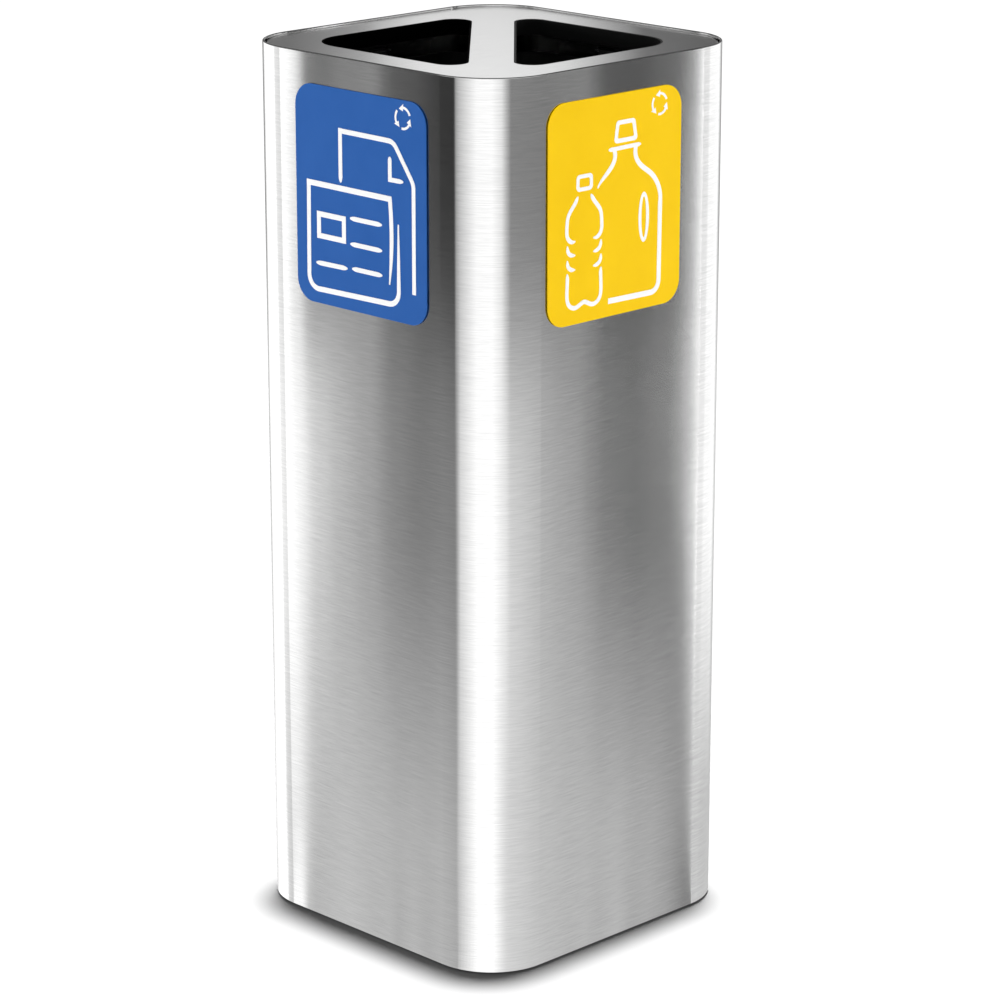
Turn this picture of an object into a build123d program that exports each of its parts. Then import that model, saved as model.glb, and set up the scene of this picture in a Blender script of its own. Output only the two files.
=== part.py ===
from build123d import *
import os
from math import cos, pi, radians, sin, sqrt

# Two-stream recycling bin: a rounded-square steel housing with a drop-in lid, two triangular
# liners inside it and a sorting label on each of the two front faces. Millimetres, +Z up.
# The origin is the middle of the footprint on the floor. The labelled faces look towards -Y
# (paper) and +X (plastic), and the vertical edge between them is the front corner.

# ---- driving dimensions ------------------------------------------------------------------
SIDE = 320.0  # across the flats of the housing
HEIGHT = 800.0  # floor to the rim
CORNER_R = 60.0  # outer radius of the housing's vertical corners
SHELL_T = 1.2  # housing sheet
FLOOR_GAP = 3.0  # daylight under the housing's lower edge
HEM_T = 2.4  # the rim, where the sheet is folded in on itself
HEM_H = 12.0
RIM_R = 1.1  # rounding of the rim's two edges

# Base
PLATE_T = 3.0
FOOT_H = 13.0
FOOT_R = 18.0
FOOT_EDGE_R = 2.0
FOOT_XY = 114.0  # foot centres along X and Y
M6_R = 3.0
M6_CLEARANCE_R = 3.3
COUNTERBORE_R = 8.0
COUNTERBORE_H = 7.0
WASHER_R = 7.0
WASHER_T = 1.4
SCREW_HEAD_R = 5.4
SCREW_HEAD_H = 3.6
HEX_KEY_FLATS = 4.0
HEX_KEY_DEPTH = 2.0
NUT_FLATS = 10.0
NUT_H = 5.0
SCREW_PAST_NUT = 1.5

# Lid
LID_GAP = 1.4  # between the lid's skirt and the rim
LID_BELOW_RIM = 2.0
LID_T = 1.2
LID_SKIRT_H = 25.0
LID_EDGE_R = 1.1
BAND_W = 38.0  # diagonal band between the two openings
OPENING_REACH = 118.0  # from the middle to each straight outer side of an opening
OPENING_SQUARE_R = 42.0
OPENING_ACUTE_R = 16.0
COLLAR_T = 2.0
COLLAR_H = 14.0
COLLAR_TOP_DROP = 0.2
COLLAR_FLANGE_W = 6.0
COLLAR_FLANGE_T = 1.5
CHANNEL_W = 24.0
CHANNEL_H = 13.0
CHANNEL_L = 290.0

# Lid supports inside the housing
PAD_T = 2.0
PAD_W = 6.0
PAD_L = 36.0
PAD_BACK_GAP = 0.1
BRACKET_T = 1.5
BRACKET_SHELF = 8.0
BRACKET_LEG_H = 25.0
BRACKET_L = 42.0
BRACKET_CORNER_R = 2.0

# Liners
LINER_REACH = 149.0  # from the middle to the rolled rim's straight outer sides
LINER_TOP_Z = 762.0
LINER_T = 2.5
LINER_LIP = 2.5
LINER_LIP_H = 10.0
LINER_LIP_R = 1.0
LINER_DRAFT = 6.0  # each wall stands this much further in at the bottom
LINER_FLOOR_T = 3.0
LINER_RECESS_H = 12.0
LINER_HALF_GAP = 4.0  # rolled rim to the diagonal plane
LINER_SQUARE_R = 52.0
LINER_ACUTE_R = 30.0

# Liner bail handles
PIVOT_V = 76.0  # from the diagonal plane to the pivot line
PIVOT_Z = 750.0
WIRE_R = 2.5
PIN_FIT = 0.08  # radial clearance of a wire or thread in its hole
PIN_END_U = 120.0
PIN_END_GAP = 1.0
ARM_U = 78.0
BAIL_REACH = 52.0
BAIL_BEND_R = 9.0
GRIP_R = 7.0
GRIP_L = 104.0
GRIP_EDGE_R = 1.2
GRIP_GROOVES = 9
GRIP_GROOVE_W = 2.4
GRIP_GROOVE_DEPTH = 0.8
LUG_FACE_U = 105.0
LUG_W = 18.0
LUG_BELOW = 12.0
LUG_ABOVE = 8.0

# Labels
LABEL_W = 164.0
LABEL_H = 192.0
LABEL_CORNER_R = 20.0
LABEL_TOP_DROP = 27.0  # rim to the label's top edge
PAPER_LABEL_SHIFT = 3.0  # how much nearer the front corner than mid-face each label sits
PLASTIC_LABEL_SHIFT = 12.0
TAPE_T = 0.4
TAPE_MARGIN = 6.0
LABEL_T = 1.1
LABEL_EDGE_R = 0.35
PRINT_T = 0.25

# ---- worked out from the above -----------------------------------------------------------
INNER_HALF = SIDE / 2 - SHELL_T
PLATE_TOP = FOOT_H + PLATE_T
LID_TOP = HEIGHT - LID_BELOW_RIM
HEM_HALF = SIDE / 2 - HEM_T
LID_HALF = HEM_HALF - LID_GAP
LID_CORNER_R = CORNER_R - HEM_T - LID_GAP
SKIRT_Z = LID_TOP - LID_SKIRT_H
LABEL_Z = HEIGHT - LABEL_TOP_DROP - LABEL_H

# Local frame of the diagonal: x runs from the back corner to the front corner, and y runs
# across the band, from the paper side to the plastic side.
DIAGONAL = Plane(origin=(0, 0, 0), x_dir=(1, -1, 0), z_dir=(0, 0, 1))
HALF_TURN = Rot(0, 0, 180)


def rounded_square(half, corner_r, z0, z1):
    """Upright prism with a rounded-square outline, from z0 to z1."""
    return Pos(0, 0, z0) * extrude(RectangleRounded(2 * half, 2 * half, corner_r), z1 - z0)


def paper_half(reach, half_gap, square_r, acute_r, z=0.0):
    """Rounded triangle that fills the paper side of the square, half_gap off the diagonal."""
    far = reach - half_gap * sqrt(2)
    tip = (-reach, -reach)
    face = make_face(Polyline(tip, (far, -reach), (-reach, far), close=True))
    face = fillet(face.vertices().sort_by_distance(tip)[1:], acute_r)
    return Pos(0, 0, z) * fillet(face.vertices().sort_by_distance(tip)[0], square_r)


def paper_half_prism(inset, base, z0, z1):
    """Prism on a paper_half outline, moved in by inset on every side."""
    reach, half_gap, square_r, acute_r = base
    outline = paper_half(reach - inset, half_gap + inset, square_r - inset, acute_r - inset)
    return Pos(0, 0, z0) * extrude(outline, z1 - z0)


def disc(x, y, z0, z1, radius):
    """Upright cylinder at (x, y), from z0 to z1."""
    return Pos(x, y, z0) * Cylinder(radius, z1 - z0, align=(Align.CENTER, Align.CENTER, Align.MIN))


def hexagon(x, y, z0, z1, flats):
    """Upright hexagonal prism at (x, y), from z0 to z1."""
    return Pos(x, y, z0) * extrude(RegularPolygon(flats / 2, 6, major_radius=False), z1 - z0)


# ---- housing -----------------------------------------------------------------------------
def outer_shell():
    """Sheet tube, open at both ends, whose rim is hemmed to the inside."""
    hem_z = HEIGHT - HEM_H
    tube = rounded_square(SIDE / 2, CORNER_R, FLOOR_GAP, HEIGHT)
    tube -= rounded_square(INNER_HALF, CORNER_R - SHELL_T, FLOOR_GAP, hem_z)
    tube -= rounded_square(HEM_HALF, CORNER_R - HEM_T, hem_z, HEIGHT)
    rim = tube.edges().filter_by(lambda edge: edge.center().Z > HEIGHT - 0.01)
    return fillet(rim, RIM_R)


def base_plate():
    """Flat plate welded inside the housing, which the liners stand on."""
    plate = rounded_square(INNER_HALF, CORNER_R - SHELL_T, FOOT_H, PLATE_TOP)
    for x, y in foot_centres():
        plate -= disc(x, y, FOOT_H, PLATE_TOP, M6_CLEARANCE_R)
    return plate


def foot_centres():
    return [(sx * FOOT_XY, sy * FOOT_XY) for sx, sy in ((1, -1), (1, 1), (-1, 1), (-1, -1))]


def foot(x, y):
    body = disc(x, y, 0, FOOT_H, FOOT_R)
    floor_edge = body.edges().sort_by(Axis.Z)[0]
    body = fillet(floor_edge, FOOT_EDGE_R)
    body -= disc(x, y, 0, COUNTERBORE_H, COUNTERBORE_R)
    return body - disc(x, y, COUNTERBORE_H, FOOT_H, M6_CLEARANCE_R)


def foot_screw(x, y):
    under_head = COUNTERBORE_H - WASHER_T
    head_z = under_head - SCREW_HEAD_H
    head = disc(x, y, head_z, under_head, SCREW_HEAD_R)
    head -= hexagon(x, y, head_z, head_z + HEX_KEY_DEPTH, HEX_KEY_FLATS)
    return head + disc(x, y, under_head, PLATE_TOP + NUT_H + SCREW_PAST_NUT, M6_R)


def foot_washer(x, y):
    ring = disc(x, y, COUNTERBORE_H - WASHER_T, COUNTERBORE_H, WASHER_R)
    return ring - disc(x, y, COUNTERBORE_H - WASHER_T, COUNTERBORE_H, M6_CLEARANCE_R)


def foot_nut(x, y):
    nut = hexagon(x, y, PLATE_TOP, PLATE_TOP + NUT_H, NUT_FLATS)
    return nut - disc(x, y, PLATE_TOP, PLATE_TOP + NUT_H, M6_R + PIN_FIT)


def lid_bracket():
    """Angle welded inside the -Y wall: a leg down the wall and a shelf at its top."""
    shelf_z = SKIRT_Z - PAD_T
    leg = Box(BRACKET_L, BRACKET_T, BRACKET_LEG_H, align=(Align.CENTER, Align.MIN, Align.MAX))
    shelf = Box(BRACKET_L, BRACKET_SHELF, BRACKET_T, align=(Align.CENTER, Align.MIN, Align.MAX))
    angle = Pos(0, -INNER_HALF, shelf_z) * (leg + shelf)
    shelf_corners = angle.edges().filter_by(Axis.Z).group_by(Axis.Y)[-1]
    return fillet(shelf_corners, BRACKET_CORNER_R)


def lid_pad():
    pad = Box(PAD_L, PAD_W, PAD_T, align=(Align.CENTER, Align.MIN, Align.MAX))
    return Pos(0, PAD_BACK_GAP - INNER_HALF, SKIRT_Z) * pad


# ---- lid ---------------------------------------------------------------------------------
OPENING = (OPENING_REACH, BAND_W / 2, OPENING_SQUARE_R, OPENING_ACUTE_R)


def lid_panel():
    panel = rounded_square(LID_HALF, LID_CORNER_R, SKIRT_Z, LID_TOP)
    top_edges = panel.edges().filter_by(lambda edge: edge.center().Z > LID_TOP - 0.01)
    panel = fillet(top_edges, LID_EDGE_R)
    panel -= rounded_square(LID_HALF - LID_T, LID_CORNER_R - LID_T, SKIRT_Z, LID_TOP - LID_T)
    opening = paper_half_prism(0, OPENING, LID_TOP - LID_T, LID_TOP)
    return panel - opening - HALF_TURN * opening


def opening_collar():
    """Moulded liner of the paper opening, with a flange under the panel."""
    under = LID_TOP - LID_T
    collar = paper_half_prism(0, OPENING, LID_TOP - COLLAR_H, LID_TOP - COLLAR_TOP_DROP)
    collar += paper_half_prism(-COLLAR_FLANGE_W, OPENING, under - COLLAR_FLANGE_T, under)
    return collar - paper_half_prism(COLLAR_T, OPENING, LID_TOP - COLLAR_H, LID_TOP)


def band_channel():
    """Folded channel that stiffens the band, by which the lid is lifted."""
    under = LID_TOP - LID_T
    hang = (Align.CENTER, Align.CENTER, Align.MAX)
    channel = Box(CHANNEL_L, CHANNEL_W, CHANNEL_H, align=hang)
    hollow = Box(CHANNEL_L, CHANNEL_W - 2 * LID_T, CHANNEL_H - LID_T, align=hang)
    return DIAGONAL * Pos(0, 0, under) * (channel - Pos(0, 0, -LID_T) * hollow)


# ---- liners ------------------------------------------------------------------------------
LINER = (LINER_REACH, LINER_HALF_GAP, LINER_SQUARE_R, LINER_ACUTE_R)


def liner_loft(inset, z0, z1):
    """Drafted triangular prism, inset from the rolled rim's outline at the top of the liner."""
    reach, half_gap, square_r, acute_r = LINER
    sections = []
    for z in (z0, z1):
        d = inset + LINER_DRAFT * (LINER_TOP_Z - z) / (LINER_TOP_Z - PLATE_TOP)
        sections.append(paper_half(reach - d, half_gap + d, square_r - d, acute_r - d, z))
    return loft(sections, ruled=True)


def liner():
    floor_z = PLATE_TOP + LINER_RECESS_H
    body = liner_loft(LINER_LIP, PLATE_TOP, LINER_TOP_Z)
    body -= liner_loft(LINER_LIP + LINER_T, PLATE_TOP, floor_z)
    body -= liner_loft(LINER_LIP + LINER_T, floor_z + LINER_FLOOR_T, LINER_TOP_Z)
    lip = paper_half_prism(0, LINER, LINER_TOP_Z - LINER_LIP_H, LINER_TOP_Z)
    lip = fillet(lip.edges().filter_by(lambda edge: edge.center().Z > LINER_TOP_Z - 0.01), LINER_LIP_R)
    lip -= paper_half_prism(LINER_LIP + LINER_T / 2, LINER, LINER_TOP_Z - LINER_LIP_H, LINER_TOP_Z)
    return body + lip + liner_lug(1) + liner_lug(-1)


def liner_lug(side):
    """Moulded lug on one straight wall, with the blind hole that holds a bail end."""
    z0, z1 = PIVOT_Z - LUG_BELOW, PIVOT_Z + LUG_ABOVE
    length = 2 * (PIN_END_U - LUG_FACE_U) + LUG_W
    block = Box(length, LUG_W, z1 - z0, align=(Align.MIN, Align.CENTER, Align.MIN))
    hole_l = PIN_END_U - LUG_FACE_U + PIN_END_GAP
    hole = Cylinder(WIRE_R + PIN_FIT, hole_l, align=(Align.CENTER, Align.CENTER, Align.MIN))
    hole = Rot(0, 90, 0) * hole
    place = DIAGONAL * Pos(0, -PIVOT_V, 0) * Rot(0, 0, 0 if side > 0 else 180)
    block = place * Pos(LUG_FACE_U, 0, z0) * block
    block &= liner_loft(LINER_LIP + LINER_T / 2, z0, z1)
    return block - place * Pos(LUG_FACE_U, 0, PIVOT_Z) * hole


def bail():
    """Wire handle, folded flat towards the band inside the liner's mouth."""
    bar_v = BAIL_REACH - PIVOT_V
    route = FilletPolyline(
        (-PIN_END_U, -PIVOT_V),
        (-ARM_U, -PIVOT_V),
        (-ARM_U, bar_v),
        (ARM_U, bar_v),
        (ARM_U, -PIVOT_V),
        (PIN_END_U, -PIVOT_V),
        radius=BAIL_BEND_R,
    )
    section = Plane(origin=route @ 0, z_dir=route % 0) * Circle(WIRE_R)
    return DIAGONAL * Pos(0, 0, PIVOT_Z) * sweep(section, path=route)


def bail_grip():
    tube = Cylinder(GRIP_R, GRIP_L) - Cylinder(WIRE_R + PIN_FIT, GRIP_L)
    ends = tube.edges().filter_by(GeomType.CIRCLE).sort_by(SortBy.RADIUS)[-2:]
    tube = fillet(ends, GRIP_EDGE_R)
    groove = Cylinder(GRIP_R, GRIP_GROOVE_W) - Cylinder(GRIP_R - GRIP_GROOVE_DEPTH, GRIP_GROOVE_W)
    for i in range(GRIP_GROOVES):
        tube -= Pos(0, 0, GRIP_L * ((i + 1) / (GRIP_GROOVES + 1) - 0.5)) * groove
    return DIAGONAL * Pos(0, BAIL_REACH - PIVOT_V, PIVOT_Z) * Rot(0, 90, 0) * tube


# ---- labels ------------------------------------------------------------------------------
# Each label has its own frame: x to the right and y up, from the label's lower left corner,
# seen from in front of its face.
PAPER_FACE = Plane(
    origin=(PAPER_LABEL_SHIFT - LABEL_W / 2, -SIDE / 2, LABEL_Z), x_dir=(1, 0, 0), z_dir=(0, -1, 0)
)
PLASTIC_FACE = Plane(
    origin=(SIDE / 2, -PLASTIC_LABEL_SHIFT - LABEL_W / 2, LABEL_Z), x_dir=(0, 1, 0), z_dir=(1, 0, 0)
)
STROKE = 4.6  # width of the pictograms' brush strokes
THIN_STROKE = 3.6
STROKE_END = 0.3  # width left at a tapered end, as a share of the stroke


def label_layer(face, margin, z0, thickness, edge_r=0.0):
    """Rounded rectangular sheet on a label's frame, margin smaller all round."""
    outline = RectangleRounded(LABEL_W - 2 * margin, LABEL_H - 2 * margin, LABEL_CORNER_R - margin)
    sheet = extrude(outline, thickness)
    if edge_r:
        sheet = fillet(sheet.edges().group_by(Axis.Z)[-1], edge_r)
    return face * Pos(LABEL_W / 2, LABEL_H / 2, z0) * sheet


def stroke(path, width=STROKE, taper_in=0.0, taper_out=0.0, samples=20):
    """Flat brush stroke along a path. A taper is the share of its length that thins out."""

    def share(t, taper):
        return 1.0 if t >= taper else STROKE_END + (1 - STROKE_END) * sin(pi / 2 * t / taper)

    left, right = [], []
    for i in range(samples + 1):
        t = i / samples
        half = width / 2 * min(share(t, taper_in), share(1 - t, taper_out))
        along = path % t
        across = Vector(-along.Y, along.X) * half
        left.append((path @ t) + across)
        right.append((path @ t) - across)
    right.reverse()
    outline = [Spline(*left), Line(left[-1], right[0]), Spline(*right), Line(right[-1], left[0])]
    return make_face(outline)


def frame_stroke(outline, inner):
    """Closed outline drawn as a stroke: the area between two faces."""
    return outline - inner


def mirrored(points, axis_x):
    return [(2 * axis_x - x, y) for x, y in points]


def loop_mark(cx, cy, radius):
    """Small mark of three arrows chasing each other round a circle."""
    mark = []
    for k in range(3):
        start = 120 * k + 20
        arc = CenterArc((cx, cy), radius, start, 68)
        mark.append(stroke(arc, width=radius * 0.24, samples=8))
        a = radians(start + 68)
        ahead = radians(start + 102)
        inner, outer = radius * 0.66, radius * 1.34
        head = Polyline(
            (cx + inner * cos(a), cy + inner * sin(a)),
            (cx + outer * cos(a), cy + outer * sin(a)),
            (cx + radius * cos(ahead), cy + radius * sin(ahead)),
            close=True,
        )
        mark.append(make_face(head))
    return mark


def paper_strokes():
    """A folded newspaper in front of a sheet with a turned-down corner."""
    newspaper = [
        stroke(Line((14, 106), (121, 105.5)), width=5.0),
        stroke(Spline((119, 107.5), (121, 72), (118, 31)), taper_out=0.5),
        stroke(
            FilletPolyline((16.5, 108), (15.5, 12.5), (129.5, 14.5), (129.5, 85), radius=12),
            width=4.8,
            taper_out=0.3,
            samples=48,
        ),
    ]
    picture = frame_stroke(
        Pos(45, 70) * Rectangle(37, 24),
        Pos(45, 70) * Rectangle(27, 14.4),
    )
    lines = [
        stroke(Line(start, end), width=4.2, taper_in=0.14, taper_out=0.14, samples=14)
        for start, end in (
            ((69, 81.5), (109, 81.5)),
            ((69, 59), (109, 59)),
            ((71, 37.5), (109, 37.5)),
            ((25, 36), (65, 36.5)),
        )
    ]
    sheet = [
        stroke(Line((57.5, 158.3), (57.5, 111)), width=4.6, taper_out=0.1),
        stroke(
            FilletPolyline((55.3, 156), (124, 155.5), (148.5, 122), (148.5, 27), radius=12),
            width=4.4,
            samples=60,
        ),
        stroke(Line((119.5, 142), (119.5, 120.3)), width=4.4, taper_in=0.15, samples=8),
        stroke(Line((117.3, 122.3), (136, 122.5)), width=4.0, taper_out=0.25, samples=8),
    ]
    return newspaper + [picture] + lines + sheet


def plastic_strokes():
    """A ribbed drinks bottle in front of a jug with a handle."""
    bottle_x = 44.0
    cap = frame_stroke(
        Pos(bottle_x, 121.5) * RectangleRounded(20, 14.5, 4),
        Pos(bottle_x, 121.5) * RectangleRounded(12.6, 7.6, 1.5),
    )
    shoulder = [(36, 110.5), (30, 102), (24.5, 95), (22.8, 85), (23.5, 77), (27, 73), (33, 72.4)]
    bottle = [cap]
    for points in (shoulder, mirrored(shoulder, bottle_x)):
        bottle.append(stroke(Spline(*points), width=3.9, taper_in=0.08, taper_out=0.14, samples=24))
    for drop in (0, 12.5):
        rib = [(23.6, 69.5 - drop), (25.2, 63 - drop), (33, 60.3 - drop)]
        for points in (rib, mirrored(rib, bottle_x)):
            bottle.append(stroke(Spline(*points), width=3.7, taper_in=0.3, taper_out=0.35, samples=12))
    base = [(23.2, 45.5), (23.2, 30), (26, 17.5), (34, 14.5), (bottle_x, 18), (54, 14.5), (62, 17.5)]
    base += [(64.8, 30), (64.8, 45.5)]
    bottle.append(stroke(Spline(*base), width=3.9, taper_in=0.05, taper_out=0.05, samples=48))

    jug_cap_outer = Polyline((79.5, 149.5), (109, 149.5), (105.5, 169), (82.5, 169), close=True)
    jug_cap_inner = Polyline((84, 153.4), (104.4, 153.4), (102, 165.2), (86, 165.2), close=True)
    jug = [
        frame_stroke(
            fillet(make_face(jug_cap_outer).vertices(), 3.5),
            fillet(make_face(jug_cap_inner).vertices(), 1.4),
        ),
        stroke(Line((73, 145), (113, 145.4)), width=3.6, taper_in=0.06, taper_out=0.06, samples=12),
        stroke(Spline((80, 144.5), (80.5, 136), (74, 127.5), (60, 114)), width=4.6, taper_out=0.6),
        stroke(
            Spline((107, 144.5), (107, 135), (113, 127), (126, 118), (135.5, 106), (138, 92)),
            samples=28,
        ),
        stroke(FilletPolyline((138, 92.4), (137, 12.6), (74, 13.6), radius=10), width=5.0, samples=40),
        frame_stroke(
            Pos(117.5, 81) * Ellipse(6.6, 22),
            Pos(117.5, 81) * Ellipse(2.9, 18),
        ),
    ]
    return bottle + jug


def printed(face, strokes):
    """The strokes as one thin printed layer on a label's surface."""
    layer = Sketch() + strokes
    return face * Pos(0, 0, TAPE_T + LABEL_T) * extrude(layer, PRINT_T)


# ---- the whole bin -----------------------------------------------------------------------
def build():
    parts = {
        "outer_shell": outer_shell(),
        "base_plate": base_plate(),
        "foot_screws": Compound(children=[foot_screw(x, y) for x, y in foot_centres()]),
        "foot_washers": Compound(children=[foot_washer(x, y) for x, y in foot_centres()]),
        "foot_nuts": Compound(children=[foot_nut(x, y) for x, y in foot_centres()]),
        "lid_panel": lid_panel(),
        "band_channel": band_channel(),
        "paper_pictogram": printed(PAPER_FACE, paper_strokes() + loop_mark(136, 177, 9)),
        "plastic_pictogram": printed(PLASTIC_FACE, plastic_strokes() + loop_mark(136, 177, 9)),
    }
    for name, (x, y) in zip(("front", "right", "back", "left"), foot_centres()):
        parts[f"foot_{name}"] = foot(x, y)
    for name, turn in (("paper_face", 0), ("plastic_face", 90), ("rear_right", 180), ("rear_left", 270)):
        parts[f"lid_bracket_{name}"] = Rot(0, 0, turn) * lid_bracket()
        parts[f"lid_pad_{name}"] = Rot(0, 0, turn) * lid_pad()
    for name, face in (("paper", PAPER_FACE), ("plastic", PLASTIC_FACE)):
        parts[f"{name}_label"] = label_layer(face, 0, TAPE_T, LABEL_T, LABEL_EDGE_R)
        parts[f"{name}_label_tape"] = label_layer(face, TAPE_MARGIN, 0, TAPE_T)
    for name, turn in (("paper", Rot(0, 0, 0)), ("plastic", HALF_TURN)):
        parts[f"{name}_collar"] = turn * opening_collar()
        parts[f"{name}_liner"] = turn * liner()
        parts[f"{name}_bail"] = turn * bail()
        parts[f"{name}_bail_grip"] = turn * bail_grip()
    return parts


os.makedirs("parts", exist_ok=True)
for node, shape in build().items():
    export_step(shape, f"parts/{node}.step")
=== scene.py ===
import math

import bmesh
import bpy
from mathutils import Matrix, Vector


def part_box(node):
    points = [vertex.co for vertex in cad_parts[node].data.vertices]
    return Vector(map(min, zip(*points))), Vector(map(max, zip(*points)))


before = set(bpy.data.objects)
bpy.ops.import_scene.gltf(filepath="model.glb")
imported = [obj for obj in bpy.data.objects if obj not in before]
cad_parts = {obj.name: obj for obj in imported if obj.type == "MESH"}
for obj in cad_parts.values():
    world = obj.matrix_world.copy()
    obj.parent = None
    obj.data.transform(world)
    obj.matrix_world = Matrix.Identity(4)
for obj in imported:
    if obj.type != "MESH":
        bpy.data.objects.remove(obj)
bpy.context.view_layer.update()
scene = bpy.context.scene

# ---- camera: its place round the bin, in metres and degrees ----------------------------------
CAMERA_AZIMUTH = 45.4
CAMERA_DISTANCE = 3.211
CAMERA_HEIGHT = 1.320
CAMERA_PITCH = -16.33
CAMERA_PAN = -0.121
CAMERA_LENS = 132.7
SENSOR_WIDTH = 36

# ---- brushed steel --------------------------------------------------------------------------
# Cells of noise per metre, along the grain and across it.
FINE_GRAIN = (25, 2600)
COARSE_GRAIN = (60, 900)
WAVES = (16, 0.9)
FINE_SHARE = 0.6  # the fine grain's part of the whole grain
GRAIN_DEPTH = 0.000004
WAVE_DEPTH = 0.0002
STEEL_DARK = (0.53, 0.53, 0.53)
STEEL_LIGHT = (0.67, 0.67, 0.667)
STEEL_ROUGHNESS = (0.12, 0.14)
RIM_SHADE_DEPTH = 0.0006  # of the rim's top that is darkened: a painted shade line
RIM_SHADE_BLEND = 0.0001
# Painted shade: the rim's top is darkened to this share of the steel's colour.
PAINTED_RIM_SHADE = 0.16

# ---- noise ----------------------------------------------------------------------------------
NOISE_LOW = 0.3  # nearly all of a noise lies between these
NOISE_HIGH = 0.7

# ---- studio ---------------------------------------------------------------------------------
FLOOR_RADIUS = 60.0
FLOOR_SEGMENTS = 96
WALL_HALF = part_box("outer_shell")[1][0]
CORNER_R = 0.060  # the corner radius of the walls
REFLECTOR_RADIUS = 0.9
REFLECTOR_HEIGHT = 2.2
COLUMN_STEP = 0.003  # the most between two upright lines of the reflector, as seen in the walls
REAR_COLUMNS = 24  # across the gap behind the bin that the walls don't mirror
REAR_INNER_RADIUS = 0.2

# The reflector is a bowl of white and grey card round the bin, which shows in reflections only.
# Each row is one upright line of it: where it is seen mirrored in the walls, in metres round
# them from the front corner (left is negative), and its glow high up, halfway and on the floor.
CARDS = [
    (-0.294, 0.24, 0.36, 0.60),
    (-0.281, 0.35, 0.75, 1.10),
    (-0.273, 1.90, 2.00, 1.85),
    (-0.256, 1.90, 2.00, 1.70),
    (-0.254, 1.30, 1.45, 1.10),
    (-0.249, 1.15, 1.30, 0.95),
    (-0.247, 2.20, 2.20, 1.65),
    (-0.235, 2.20, 2.20, 1.65),
    (-0.226, 0.50, 1.45, 0.90),
    (-0.216, 0.08, 1.02, 0.78),
    (-0.203, 0.10, 0.92, 0.80),
    (-0.173, 0.34, 0.70, 0.86),
    (-0.140, 0.36, 0.56, 0.78),
    (-0.125, 0.48, 0.62, 0.78),
    (-0.117, 0.20, 0.38, 0.78),
    (-0.107, 0.09, 0.30, 0.70),
    (-0.085, 0.15, 0.34, 0.78),
    (-0.068, 0.10, 0.24, 0.70),
    (-0.050, 0.05, 0.36, 0.76),
    (-0.032, 0.04, 0.34, 0.66),
    (-0.030, 0.60, 0.62, 0.90),
    (-0.027, 0.85, 1.15, 1.05),
    (-0.012, 1.60, 1.70, 1.75),
    (0.001, 1.65, 1.75, 1.75),
    (0.009, 1.30, 1.45, 1.30),
    (0.013, 0.76, 1.35, 1.12),
    (0.017, 0.34, 1.10, 1.05),
    (0.047, 0.32, 0.78, 0.86),
    (0.086, 0.34, 0.55, 0.76),
    (0.106, 0.45, 0.56, 0.78),
    (0.114, 0.20, 0.36, 0.74),
    (0.125, 0.10, 0.24, 0.72),
    (0.147, 0.15, 0.32, 0.78),
    (0.165, 0.08, 0.18, 0.66),
    (0.187, 0.16, 0.30, 0.68),
    (0.213, 0.09, 0.19, 0.58),
    (0.236, 0.04, 0.07, 0.38),
    (0.2470, 0.04, 0.07, 0.38),
    (0.2473, 4.20, 4.20, 1.80),
    (0.2482, 4.20, 4.20, 1.80),
    (0.2486, 1.25, 1.35, 0.90),
    (0.254, 1.30, 1.40, 0.95),
    (0.256, 1.60, 1.60, 0.90),
    (0.274, 1.55, 1.60, 0.80),
    (0.280, 0.60, 0.90, 0.70),
    (0.294, 0.10, 0.30, 0.50),
]
# Above the walls only the lid and the rim show it: degrees off the rear, and its glow there.
TOP_CARDS = [
    (0, 1.16),
    (5, 1.08),
    (9, 0.56),
    (12, 0.14),
    (16, 0.10),
    (22, 0.20),
    (30, 0.35),
    (45, 1.00),
    (78, 1.00),
    (84, 0.08),
    (96, 0.08),
    (102, 1.00),
    (180, 1.00),
]
REAR_DIMMING = 0.76  # the rear cards' glow lower down, as a part of their glow up there
# How far out along the floor, or how high up the bowl's wall, each glow of a card starts.
FLOOR_ROWS = [(0.0, "floor"), (0.30, "floor")]
WALL_ROWS = [(0.15, "halfway"), (0.30, "halfway"), (0.46, "high"), (0.92, "high"), (0.98, "top"),
             (REFLECTOR_HEIGHT, "top")]
CEILING_GLOW = 0.75

# Two soft lights, one in front of each label's face.
FRONT_DISTANCE = 2.8
FRONT_ASIDE = 0.6
FRONT_HEIGHT = 0.55
FRONT_SIZE = 1.2
FRONT_POWER = 33

BACKDROP_GLOW = 1.0  # beyond the floor, as the camera sees it
SKY_GLOW = 0.12  # and as it lights the bin
OVERHEAD_STRENGTH = 3.3
OVERHEAD_ANGLE = 3.0  # across the light, in degrees
OVERHEAD_LEAN = (0.017, -0.027)  # how far the light leans, as metres along X and Y per metre down


# ---- node helpers ---------------------------------------------------------------------------
def new_material(name):
    material = bpy.data.materials.new(name)
    material.use_nodes = True
    tree = material.node_tree
    tree.nodes.clear()
    return material, tree


def node(tree, kind, **values):
    """A new shader node. Values that name an input set its default, and others set a property."""
    made = tree.nodes.new("ShaderNode" + kind)
    for key, value in values.items():
        name = key.replace("_", " ")
        if name in made.inputs:
            made.inputs[name].default_value = value
        else:
            setattr(made, key, value)
    return made


def link(tree, source, target):
    tree.links.new(source, target)


def maths(tree, operation, *operands):
    made = node(tree, "Math", operation=operation)
    for socket, value in zip(made.inputs, operands):
        if isinstance(value, (int, float)):
            socket.default_value = value
        else:
            link(tree, value, socket)
    return made.outputs[0]


def scaled_position(tree, scale):
    """The point in the frame, in metres, stretched by scale along each axis."""
    position = node(tree, "TexCoord").outputs["Object"]
    mapping = node(tree, "Mapping")
    mapping.inputs["Scale"].default_value = scale
    link(tree, position, mapping.inputs["Vector"])
    return mapping.outputs["Vector"]


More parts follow.
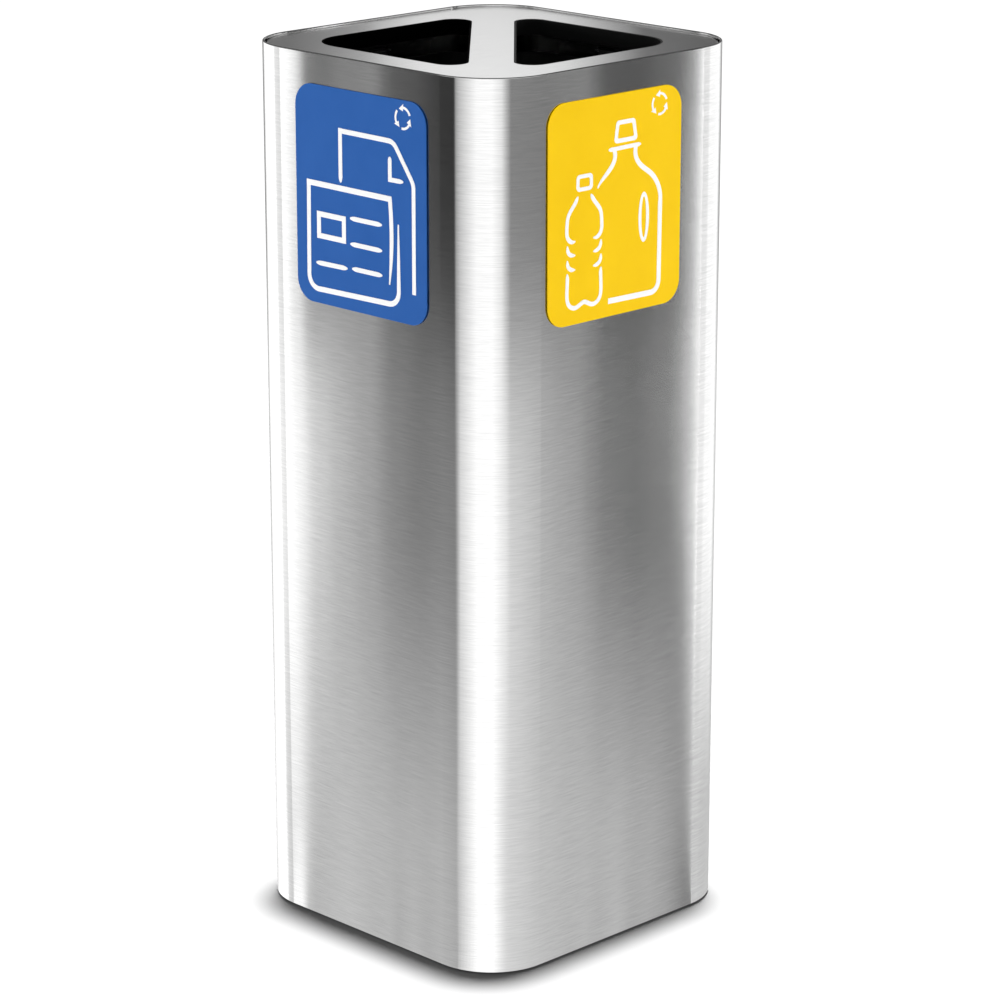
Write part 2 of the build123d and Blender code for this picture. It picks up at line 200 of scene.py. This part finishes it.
def noise(tree, scale, detail):
    """Noise from 0 to 1 whose cells are 1/scale metres along each axis."""
    made = node(tree, "TexNoise", Scale=1.0, Detail=detail, Roughness=0.5, Distortion=0.0)
    link(tree, scaled_position(tree, scale), made.inputs["Vector"])
    return made.outputs["Fac"]


def mapped(tree, value, before, after):
    """Maps the range before to the range after, and clamps to it."""
    made = node(tree, "MapRange")
    made.inputs["From Min"].default_value = before[0]
    made.inputs["From Max"].default_value = before[1]
    made.inputs["To Min"].default_value = after[0]
    made.inputs["To Max"].default_value = after[1]
    link(tree, value, made.inputs["Value"])
    return made.outputs["Result"]


def spread(tree, value, low, high):
    """A noise, stretched to run from low to high."""
    return mapped(tree, value, (NOISE_LOW, NOISE_HIGH), (low, high))


def mixed(tree, factor, first, second):
    """Colour mix: first where factor is 0, second where it is 1."""
    made = node(tree, "Mix", data_type="RGBA")
    link(tree, factor, made.inputs["Factor"])
    made.inputs[6].default_value = (*first, 1)
    made.inputs[7].default_value = (*second, 1)
    return made.outputs[2]


def bumped(tree, height, distance, below=None):
    """Bump of the given depth in metres, on top of another bump's normal if there is one."""
    made = node(tree, "Bump", Strength=1.0, Distance=distance)
    link(tree, height, made.inputs["Height"])
    if below is not None:
        link(tree, below, made.inputs["Normal"])
    return made.outputs["Normal"]


def finished(material, tree, shader):
    output = node(tree, "OutputMaterial")
    link(tree, shader.outputs[0], output.inputs["Surface"])
    return material


# ---- materials ------------------------------------------------------------------------------
def painted_shade_above(tree, colour, height):
    """The colour, and a set share of it above a height in the frame: painted shade along the rim's top."""
    parts = node(tree, "SeparateXYZ")
    link(tree, node(tree, "TexCoord").outputs["Object"], parts.inputs[0])
    blend = (height - RIM_SHADE_BLEND, height + RIM_SHADE_BLEND)
    shade = mapped(tree, parts.outputs["Z"], blend, (1.0, PAINTED_RIM_SHADE))
    scaled = node(tree, "VectorMath", operation="SCALE")
    link(tree, colour, scaled.inputs[0])
    link(tree, shade, scaled.inputs["Scale"])
    return scaled.outputs[0]


def grained(tree, along, across, cells, detail):
    """Noise with the given cells per metre along the grain and across it."""
    return noise(tree, [a * cells[0] + c * cells[1] for a, c in zip(along, across)], detail)


def brushed_steel(name, along, across, rim_shade_height=None):
    """Satin sheet. along marks the axes that the grain runs along, and across is the axis
    across it, which the highlights are stretched along. Above the given height the colour is
    darkened: a painted shade line along the rim's top."""
    material, tree = new_material(name)
    fine = grained(tree, along, across, FINE_GRAIN, detail=3)
    coarse = grained(tree, along, across, COARSE_GRAIN, detail=2)
    waves = grained(tree, along, across, WAVES, detail=1.5)
    clouds = noise(tree, (5, 5, 5), detail=3)
    shader = node(tree, "BsdfPrincipled", Metallic=1.0, Anisotropic=1.0)
    fine_part = maths(tree, "MULTIPLY", fine, FINE_SHARE)
    coarse_part = maths(tree, "MULTIPLY", coarse, 1 - FINE_SHARE)
    grain = maths(tree, "ADD", fine_part, coarse_part)
    colour = mixed(tree, spread(tree, grain, 0, 1), STEEL_DARK, STEEL_LIGHT)
    # Painted shade: the rim's top is darkened to stand in for the dark line of shade there.
    if rim_shade_height is not None:
        colour = painted_shade_above(tree, colour, rim_shade_height)
    link(tree, colour, shader.inputs["Base Color"])
    link(tree, spread(tree, clouds, *STEEL_ROUGHNESS), shader.inputs["Roughness"])
    normal = bumped(tree, waves, WAVE_DEPTH)
    normal = bumped(tree, grain, GRAIN_DEPTH, normal)
    link(tree, normal, shader.inputs["Normal"])
    tangent = node(tree, "CombineXYZ", X=across[0], Y=across[1], Z=across[2])
    link(tree, tangent.outputs[0], shader.inputs["Tangent"])
    return finished(material, tree, shader)


def plain_sheet(name, dark, light, roughness):
    """Mill-finish or zinc-plated steel with faint clouding."""
    material, tree = new_material(name)
    shader = node(tree, "BsdfPrincipled", Metallic=1.0)
    clouds = noise(tree, (60, 60, 60), detail=4)
    link(tree, mixed(tree, spread(tree, clouds, 0, 1), dark, light), shader.inputs["Base Color"])
    link(tree, spread(tree, noise(tree, (90, 90, 90), detail=2), roughness - 0.06, roughness + 0.06),
         shader.inputs["Roughness"])
    link(tree, bumped(tree, clouds, 0.00002), shader.inputs["Normal"])
    return finished(material, tree, shader)


def moulded(name, dark, light, roughness, pebble=0.00003, pebble_scale=1400, gloss=0.5):
    """Moulded plastic or rubber with a fine pebbled skin, of the given depth in metres."""
    material, tree = new_material(name)
    shader = node(tree, "BsdfPrincipled")
    shader.inputs["Specular IOR Level"].default_value = gloss
    clouds = noise(tree, (25, 25, 25), detail=4)
    skin = noise(tree, (pebble_scale,) * 3, detail=2)
    link(tree, mixed(tree, spread(tree, clouds, 0, 1), dark, light), shader.inputs["Base Color"])
    link(tree, spread(tree, clouds, roughness - 0.05, roughness + 0.07), shader.inputs["Roughness"])
    link(tree, bumped(tree, skin, pebble), shader.inputs["Normal"])
    return finished(material, tree, shader)


def assign(nodes, material):
    for name in nodes:
        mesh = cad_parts[name].data
        mesh.materials.clear()
        mesh.materials.append(material)


def wall_steel():
    """The grain runs level round the walls, and the rim's top has a painted shade line."""
    return brushed_steel("wall_steel", (1, 1, 0), (0, 0, 1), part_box("outer_shell")[1][2] - RIM_SHADE_DEPTH)


def lid_steel():
    """The grain runs along Y across the lid, and up and down its skirt."""
    return brushed_steel("lid_steel", (0, 1, 1), (1, 0, 0))


def plate_plastic(name, dark, light):
    """The smooth satin plates of the labels."""
    return moulded(name, dark, light, 0.42, pebble=0.00001, pebble_scale=500, gloss=0.06)


def white_print():
    """The printed strokes of the pictograms."""
    light = (0.98, 0.98, 0.98)
    return moulded("white_print", (0.95, 0.95, 0.95), light, 0.4, pebble=0.00001, pebble_scale=700, gloss=0.1)


def named(start):
    """The CAD nodes whose names start so."""
    return [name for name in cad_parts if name.startswith(start)]


assign(["outer_shell"], wall_steel())
assign(["lid_panel"], lid_steel())
assign(["base_plate", "band_channel"] + named("lid_bracket"),
       plain_sheet("mill_sheet", (0.42, 0.43, 0.44), (0.55, 0.56, 0.57), 0.34))
assign(["foot_screws", "foot_washers", "foot_nuts"],
       plain_sheet("zinc", (0.52, 0.54, 0.58), (0.66, 0.67, 0.70), 0.28))
assign(named("lid_pad") + ["foot_front", "foot_right", "foot_back", "foot_left"],
       moulded("rubber", (0.012, 0.012, 0.012), (0.022, 0.022, 0.023), 0.62))
assign(["paper_label"], plate_plastic("blue_plate", (0.022, 0.109, 0.390), (0.026, 0.118, 0.408)))
assign(["plastic_label"], plate_plastic("yellow_plate", (0.94, 0.59, 0.001), (0.97, 0.62, 0.002)))
assign(["paper_pictogram", "plastic_pictogram"], white_print())
assign(["paper_label_tape", "plastic_label_tape"],
       moulded("foam_tape", (0.10, 0.10, 0.10), (0.14, 0.14, 0.14), 0.8))
assign(["paper_collar"],
       moulded("collar_plastic_paper", (0.002, 0.002, 0.002), (0.004, 0.004, 0.004), 0.65, gloss=0.0))
assign(["plastic_collar"],
       moulded("collar_plastic_plastics", (0.022, 0.022, 0.022), (0.028, 0.028, 0.028), 0.65, gloss=0.02))
assign(["paper_liner"],
       moulded("liner_plastic_paper", (0.008, 0.008, 0.008), (0.014, 0.014, 0.014), 0.6, gloss=0.2))
assign(["plastic_liner"],
       moulded("liner_plastic_plastics", (0.030, 0.030, 0.030), (0.042, 0.042, 0.042), 0.6, gloss=0.25))
assign(["paper_bail", "plastic_bail"],
       moulded("coated_wire", (0.010, 0.010, 0.010), (0.016, 0.016, 0.016), 0.38))
assign(["paper_bail_grip", "plastic_bail_grip"],
       moulded("grip_plastic", (0.012, 0.012, 0.012), (0.020, 0.020, 0.020), 0.45))


# ---- studio ---------------------------------------------------------------------------------
def show_in_gloss_only(obj):
    """Leaves an object visible to glossy rays, and to no others."""
    obj.visible_camera = False
    obj.visible_diffuse = False
    obj.visible_shadow = False
    obj.visible_transmission = False
    obj.visible_volume_scatter = False


def floor():
    """A wide pale floor. The steel doesn't mirror it, but shows the reflector's floor instead."""
    bm = bmesh.new()
    bmesh.ops.create_circle(bm, cap_ends=True, segments=FLOOR_SEGMENTS, radius=FLOOR_RADIUS)
    mesh = bpy.data.meshes.new("floor")
    bm.to_mesh(mesh)
    bm.free()
    obj = bpy.data.objects.new("floor", mesh)
    scene.collection.objects.link(obj)
    material, tree = new_material("floor")
    finished(material, tree, node(tree, "BsdfDiffuse", Color=(0.93, 0.93, 0.93, 1)))
    mesh.materials.append(material)
    obj.visible_glossy = False
    return obj


def wall_point(s):
    """The walls' outline s metres round from the front corner: a point and its normal, in plan."""
    side = -1 if s < 0 else 1
    front, across = Vector((1, -1)).normalized(), side * Vector((1, 1)).normalized()
    centre = Vector((WALL_HALF - CORNER_R, CORNER_R - WALL_HALF))
    flat = 2 * (WALL_HALF - CORNER_R)
    half_arc = CORNER_R * math.pi / 4
    distance = abs(s)
    if distance < half_arc:
        turn = distance / CORNER_R
        normal = front * math.cos(turn) + across * math.sin(turn)
        return centre + CORNER_R * normal, normal
    normal, travel = (front + across).normalized(), (across - front).normalized()
    if distance < half_arc + flat:
        return centre + CORNER_R * normal + (distance - half_arc) * travel, normal
    turn = (distance - half_arc - flat) / CORNER_R
    normal = normal * math.cos(turn) + travel * math.sin(turn)
    return centre + flat * travel + CORNER_R * normal, normal


def seen_in_wall(s):
    """In plan: a point of the wall, and the reflector's point that the camera sees mirrored there."""
    point, normal = wall_point(s)
    view = (camera_place().xy - point).normalized()
    ray = 2 * view.dot(normal) * normal - view
    b = point.dot(ray)
    reach = math.sqrt(b * b + REFLECTOR_RADIUS**2 - point.dot(point)) - b
    return point, point + reach * ray


def in_between(stops, x):
    """Values at x between rows of stops, whose first entries rise."""
    for low, high in zip(stops, stops[1:]):
        if x <= high[0]:
            break
    t = (x - low[0]) / (high[0] - low[0])
    return [a + (b - a) * t for a, b in zip(low[1:], high[1:])]


def top_glow(outward):
    """The glow above the walls, in a direction in plan."""
    rear = -camera_place().xy
    return in_between(TOP_CARDS, math.degrees(abs(outward.angle_signed(rear))))[0]


def card_lines():
    """The cards' rows, with rows between them so that none are further apart than COLUMN_STEP."""
    for low, high in zip(CARDS, CARDS[1:]):
        steps = math.ceil((high[0] - low[0]) / COLUMN_STEP)
        for i in range(steps):
            yield [a + (b - a) * i / steps for a, b in zip(low, high)]
    yield CARDS[-1]


def reflector_columns():
    """Inner and outer end in plan, and the glow high up, halfway and on the floor, of each column."""
    columns = [(*seen_in_wall(s), glows) for s, *glows in card_lines()]
    rear = math.atan2(-camera_place().y, -camera_place().x)
    start = math.atan2(columns[-1][1].y, columns[-1][1].x) - rear
    end = math.atan2(columns[0][1].y, columns[0][1].x) - rear + 2 * math.pi
    end = (end + math.pi) % (2 * math.pi) - math.pi
    for i in range(1, REAR_COLUMNS):
        off = start + (end - start) * i / REAR_COLUMNS
        outward = Vector((math.cos(rear + off), math.sin(rear + off)))
        glows = [REAR_DIMMING * top_glow(outward)] * 3
        columns.append((REAR_INNER_RADIUS * outward, REFLECTOR_RADIUS * outward, glows))
    return columns


def reflector():
    """A bowl of card round the bin: it shows in reflections only, and lights nothing."""
    bm = bmesh.new()
    layer = bm.verts.layers.float.new("glow")
    rings = []
    for inner, outer, (high, halfway, floor) in reflector_columns():
        glow = {"high": high, "halfway": halfway, "floor": floor, "top": top_glow(outer)}
        outward = (outer - inner).normalized()
        points = [((inner + reach * outward).to_3d(), name) for reach, name in FLOOR_ROWS]
        points += [(Vector((*outer, height)), name) for height, name in WALL_ROWS]
        ring = []
        for place, name in points:
            vert = bm.verts.new(place)
            vert[layer] = glow[name]
            ring.append(vert)
        rings.append(ring)
    ceiling = bm.verts.new((0, 0, REFLECTOR_HEIGHT))
    ceiling[layer] = CEILING_GLOW
    for ring, after in zip(rings, rings[1:] + rings[:1]):
        for i in range(len(ring) - 1):
            bm.faces.new((ring[i], ring[i + 1], after[i + 1], after[i]))
        bm.faces.new((ring[-1], ceiling, after[-1]))
    mesh = bpy.data.meshes.new("reflector")
    bm.to_mesh(mesh)
    bm.free()
    obj = bpy.data.objects.new("reflector", mesh)
    scene.collection.objects.link(obj)
    material, tree = new_material("reflector")
    shader = node(tree, "Emission")
    glow = node(tree, "Attribute", attribute_name="glow").outputs["Fac"]
    seen_directly = maths(tree, "LESS_THAN", node(tree, "LightPath").outputs["Diffuse Depth"], 0.5)
    link(tree, maths(tree, "MULTIPLY", glow, seen_directly), shader.inputs["Strength"])
    finished(material, tree, shader)
    mesh.materials.append(material)
    show_in_gloss_only(obj)


def studio_light(name, position, size, power, unlit):
    """A soft area light aimed at the middle of the bin, which doesn't light the objects in unlit."""
    data = bpy.data.lights.new(name, "AREA")
    data.shape = "DISK"
    data.size = size
    data.energy = power
    obj = bpy.data.objects.new(name, data)
    obj.location = position
    middle = Vector((0, 0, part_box("outer_shell")[1][2] / 2))
    aim_at(obj, middle - Vector(position))
    scene.collection.objects.link(obj)
    obj.visible_camera = False
    obj.visible_glossy = False
    receivers = bpy.data.collections.new(name + "_receivers")
    for other in unlit:
        receivers.objects.link(other)
    for entry in receivers.collection_objects:
        entry.light_linking.link_state = "EXCLUDE"
    obj.light_linking.receiver_collection = receivers


def overhead_light():
    """Soft light from nearly straight above: its short shadow falls towards the paper side."""
    data = bpy.data.lights.new("overhead", "SUN")
    data.energy = OVERHEAD_STRENGTH
    data.angle = math.radians(OVERHEAD_ANGLE)
    obj = bpy.data.objects.new("overhead", data)
    aim_at(obj, Vector((*OVERHEAD_LEAN, -1)))
    scene.collection.objects.link(obj)
    obj.visible_glossy = False


def aim_at(obj, direction):
    obj.rotation_mode = "QUATERNION"
    obj.rotation_quaternion = direction.to_track_quat("-Z", "Y")


def white_world():
    """White behind the floor, and a faint even light from all round."""
    world = bpy.data.worlds.new("studio")
    scene.world = world
    world.use_nodes = True
    tree = world.node_tree
    background = tree.nodes["Background"]
    background.inputs["Color"].default_value = (1, 1, 1, 1)
    seen = node(tree, "LightPath").outputs["Is Camera Ray"]
    strength = maths(tree, "MULTIPLY_ADD", seen, BACKDROP_GLOW - SKY_GLOW, SKY_GLOW)
    link(tree, strength, background.inputs["Strength"])


def camera_place():
    a = math.radians(CAMERA_AZIMUTH)
    return Vector((CAMERA_DISTANCE * math.sin(a), -CAMERA_DISTANCE * math.cos(a), CAMERA_HEIGHT))


def camera():
    data = bpy.data.cameras.new("camera")
    data.lens = CAMERA_LENS
    data.sensor_width = SENSOR_WIDTH
    obj = bpy.data.objects.new("camera", data)
    obj.location = camera_place()
    aim = math.radians(CAMERA_AZIMUTH + CAMERA_PAN)
    pitch = math.radians(CAMERA_PITCH)
    forward = Vector((-math.sin(aim) * math.cos(pitch), math.cos(aim) * math.cos(pitch), math.sin(pitch)))
    aim_at(obj, forward)
    scene.collection.objects.link(obj)
    scene.camera = obj


ground = floor()
reflector()
white_world()
overhead_light()
studio_light("front_left", (-FRONT_ASIDE, -FRONT_DISTANCE, FRONT_HEIGHT), FRONT_SIZE, FRONT_POWER, [ground])
studio_light("front_right", (FRONT_DISTANCE, FRONT_ASIDE, FRONT_HEIGHT), FRONT_SIZE, FRONT_POWER, [ground])
camera()
scene.view_settings.view_transform = "Standard"
